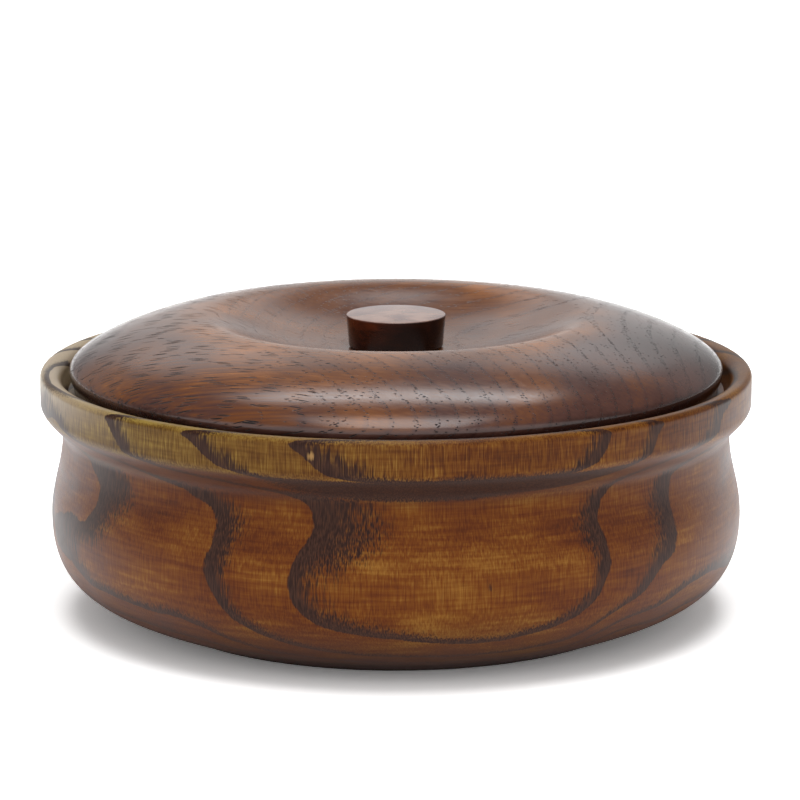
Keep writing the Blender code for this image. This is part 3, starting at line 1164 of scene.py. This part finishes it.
sheen = add(
    tree,
    "MapRange",
    {
        "Value": streaks,
        "From Min": NOISE_LOW,
        "From Max": NOISE_HIGH,
        "To Min": GLOSS_SMOOTH,
        "To Max": GLOSS_DULL,
    },
)
sheen = add(tree, "Math", {0: pores, 1: sheen}, operation="MAXIMUM")
height = add(tree, "Math", {0: streaks, 1: STREAK_RELIEF, 2: pores}, operation="MULTIPLY_ADD")
height = add(tree, "Math", {0: 1.0, 1: height}, operation="SUBTRACT")
colour = colour.outputs[MIXED]
finish_wood(lid_wood, tree, colour, height, depth=0.06, roughness=sheen, ior=1.5, facing=1.0)
lid.data.materials.append(lid_wood)

# %% [markdown]
# ## Knob wood and dowel wood
#
# The knob is the darkest piece: the same stain on a denser wood. Its fibre lies level, so the side
# shows faint level lines. Its side is painted paler at the left and darker at the right, as light and
# shade, and its flat top is painted pale, as the reflection of the bright wall behind. The dowel is bare
# beech, never stained. One dark colour would do for the knob from far away, but it would look like
# plastic close up.

# %% Knob wood
KNOB_LINE_SIZE = (18.0, 2.4, 1.6)
KNOB_LINE_SHARE = 0.6
KNOB_CLOUD_SIZE = (9.0, 9.0, 9.0)
# The side is painted paler at the left and darker at the right, as light and shade on its round side.
KNOB_LIT_LEFT = 0.1
KNOB_SHADED_RIGHT = 0.3
KNOB_SHADE_LEFT = -12.0
KNOB_SHADE_RIGHT = 4.0
KNOB_PALER_UP = 0.2
KNOB_TONE_LOW = 0.5
KNOB_TONE_HIGH = 1.1

# Dense ash, dark stained and polished: nearly black at the side, with a sharp reflection on top.
knob_wood, tree, place = new_wood("dense_ash_dark_stained_knob")
lines = pattern(tree, place, KNOB_LINE_SIZE, detail=3.0, seed=21.0)
clouds = pattern(tree, place, KNOB_CLOUD_SIZE, detail=2.0, seed=22.0)
tone = add(tree, "Math", {0: lines, 1: KNOB_LINE_SHARE, 2: clouds}, operation="MULTIPLY_ADD")
axes = add(tree, "SeparateXYZ", {0: place})
level = axes.outputs["Z"]
# rightward paints this light and shade across the knob's side.
rightward = add(
    tree,
    "MapRange",
    {
        "Value": axes.outputs["X"],
        "From Min": KNOB_SHADE_LEFT,
        "From Max": KNOB_SHADE_RIGHT,
        "To Min": KNOB_LIT_LEFT,
        "To Max": -KNOB_SHADED_RIGHT,
    },
)
tone = add(tree, "Math", {0: tone, 1: rightward}, operation="ADD")
# The side also grows darker towards its foot and paler towards its top.
upward = add(
    tree,
    "MapRange",
    {
        "Value": level,
        "From Min": KNOB_FOOT,
        "From Max": KNOB_TOP,
        "To Min": -KNOB_PALER_UP,
        "To Max": KNOB_PALER_UP,
    },
)
tone = add(tree, "Math", {0: tone, 1: upward}, operation="ADD")
tone = add(tree, "MapRange", {"Value": tone, "From Min": KNOB_TONE_LOW, "From Max": KNOB_TONE_HIGH})
side_colour = add(
    tree,
    "ValToRGB",
    {"Fac": tone},
    stops=((0.0, "180A07"), (0.5, "2C120B"), (1.0, "4E2110")),
)
# The top is painted pale pinkish grey, as the reflection of the bright wall behind on its flat top.
painted_top_reflection = add(tree, "ValToRGB", {"Fac": clouds}, stops=((0.35, "73504A"), (0.65, "A07C6C")))
on_top = add(
    tree,
    "MapRange",
    {"Value": level, "From Min": KNOB_TOP - 2 * KNOB_CROWN, "From Max": KNOB_TOP - KNOB_CROWN},
)
colour = add(tree, "Mix", {SHARE: on_top, UNDER: side_colour, OVER: painted_top_reflection}, data_type="RGBA")
colour = colour.outputs[MIXED]
finish_wood(knob_wood, tree, colour, lines, depth=0.005, roughness=0.14, ior=1.7, facing=0.5)
knob.data.materials.append(knob_wood)

# %% Dowel wood
DOWEL_LINE_SIZE = (0.6, 0.6, 9.0)

# Beech, turned and left bare: pale and matt, with fine lines along the dowel.
dowel_wood, tree, place = new_wood("beech_dowel_bare")
lines = pattern(tree, place, DOWEL_LINE_SIZE, detail=3.0, seed=31.0)
bare = add(tree, "ValToRGB", {"Fac": lines}, stops=((0.3, "B98C5C"), (0.7, "D3AB7A")))
colour = bare.outputs["Color"]
finish_wood(dowel_wood, tree, colour, lines, depth=0.03, roughness=0.7, ior=1.45, facing=1.0)
dowel.data.materials.append(dowel_wood)

# %% [markdown]
# ## Floor and studio light
#
# The bowl stands on white paper in a small studio. All the light is soft: two long strips hang over
# the bowl and draw two bright lines along the front of the lid, a dim wall with two panels stands
# behind, and a wide soft light is on the camera's side. Lamps at a few places would leave the paper
# grey far away from them, so the studio is the world itself, with its brightness written as a
# function of direction.

# %% Floor
# White paper, matt: plain white with a soft grey shadow. In an overexposed picture the paper looks
# brighter than the light that it throws back, so the camera and reflections see it lighter.
FLOOR_SIZE = 30.0
PAPER_WHITE = 0.95
PAPER_OVEREXPOSED = 1.65
PAPER_GLOW = 0.05

half = FLOOR_SIZE / 2
corners = [(-half, -half, 0.0), (half, -half, 0.0), (half, half, 0.0), (-half, half, 0.0)]
floor_mesh = bpy.data.meshes.new("paper_floor")
floor_mesh.from_pydata(corners, [], [(0, 1, 2, 3)])
floor = bpy.data.objects.new("paper_floor", floor_mesh)
bpy.context.scene.collection.objects.link(floor)
paper = bpy.data.materials.new("white_paper")
paper.use_nodes = True
tree = paper.node_tree
tree.nodes.clear()
ray = add(tree, "LightPath")
seen = add(
    tree,
    "Math",
    {0: ray.outputs["Is Camera Ray"], 1: ray.outputs["Is Glossy Ray"]},
    operation="MAXIMUM",
)
seen = add(tree, "Math", {0: seen, 1: ray.outputs["Is Transmission Ray"]}, operation="MAXIMUM")
white = add(tree, "MapRange", {"Value": seen, "To Min": PAPER_WHITE, "To Max": PAPER_OVEREXPOSED})
glow = add(tree, "Math", {0: seen, 1: PAPER_GLOW}, operation="MULTIPLY")
matt = add(tree, "BsdfDiffuse", {"Color": white})
lit = add(tree, "Emission", {"Color": linear("FFFFFF"), "Strength": glow})
both = add(tree, "AddShader", {0: matt, 1: lit})
add(tree, "OutputMaterial", {"Surface": both})
floor_mesh.materials.append(paper)
print("paper floor is", FLOOR_SIZE, "m wide")

# %% Directions in the studio
world = bpy.data.worlds.new("studio_dome")
world.use_nodes = True
tree = world.node_tree
tree.nodes.clear()
direction = add(tree, "TexCoord")
axes = add(tree, "SeparateXYZ", {0: direction.outputs["Generated"]})
across = axes.outputs["X"]
over_top = add(tree, "Math", {0: axes.outputs["Z"], 1: axes.outputs["Y"]}, operation="ARCTAN2")


def window(tree, value, start, end, soft):
    """1 from start to end, fading to 0 over a soft edge on both sides."""
    rise = add(
        tree,
        "MapRange",
        {"Value": value, "From Min": start - soft, "From Max": start},
        interpolation_type="SMOOTHSTEP",
    )
    fall = add(
        tree,
        "MapRange",
        {"Value": value, "From Min": end, "From Max": end + soft, "To Min": 1.0, "To Max": 0.0},
        interpolation_type="SMOOTHSTEP",
    )
    return add(tree, "Math", {0: rise, 1: fall}, operation="MULTIPLY")


def light(tree, start, end, soft, brightness):
    """One light of the studio, as its brightness by the angle over the top."""
    angles = [math.radians(angle) for angle in (start, end, soft)]
    return add(tree, "Math", {0: window(tree, over_top, *angles), 1: brightness}, operation="MULTIPLY")


# %% Studio dome
# Each light: where it starts and ends, in degrees from the wall behind over the top to the camera's
# side, how soft its edges are, and its brightness.
WALL_BEHIND = (-40.0, 33.0, 12.0, 0.66)
PANELS_BEHIND = (27.0, 36.0, 8.0, 0.48)
CAMERA_SIDE = (135.0, 175.0, 20.0, 1.1)
STRIPS_ABOVE = ((56.5, 60.5, 3.5, 6.8), (93.0, 112.0, 16.0, 4.9))
# Where it starts and ends sideways, from -1 at the far left to 1 at the far right, and the soft edge.
STRIP_SPAN = (-0.15, 0.30, 0.22)
STRIP_RIGHT_END = (-1.0, 0.25, 0.06)
WALL_MIDDLE = (-0.15, 0.15, 0.25)
PANEL_SPAN = (0.13, 0.28, 0.08)
# How bright the wall stays at its sides, and the light from everywhere else in the room.
WALL_SIDES = 0.38
ROOM = 0.14

first, second = [light(tree, *strip) for strip in STRIPS_ABOVE]
strips = add(tree, "Math", {0: first, 1: second}, operation="ADD")
for span in (STRIP_SPAN, STRIP_RIGHT_END):
    strips = add(tree, "Math", {0: strips, 1: window(tree, across, *span)}, operation="MULTIPLY")
middle = window(tree, across, *WALL_MIDDLE)
middle = add(tree, "MapRange", {"Value": middle, "To Min": WALL_SIDES, "To Max": 1.0})
wall = add(tree, "Math", {0: light(tree, *WALL_BEHIND), 1: middle}, operation="MULTIPLY")
either_side = add(tree, "Math", {0: across}, operation="ABSOLUTE")
panels = window(tree, either_side, *PANEL_SPAN)
wall = add(tree, "Math", {0: light(tree, *PANELS_BEHIND), 1: panels, 2: wall}, operation="MULTIPLY_ADD")
brightness = add(tree, "Math", {0: strips, 1: wall}, operation="ADD")
brightness = add(tree, "Math", {0: brightness, 1: light(tree, *CAMERA_SIDE)}, operation="ADD")
brightness = add(tree, "Math", {0: brightness, 1: ROOM}, operation="ADD")
dome = add(tree, "Background", {"Color": linear("FFFFFF"), "Strength": brightness})
add(tree, "OutputWorld", {"Surface": dome})
bpy.context.scene.world = world
bpy.context.scene.view_settings.view_transform = "Standard"
print("studio uses", len(tree.nodes), "nodes")
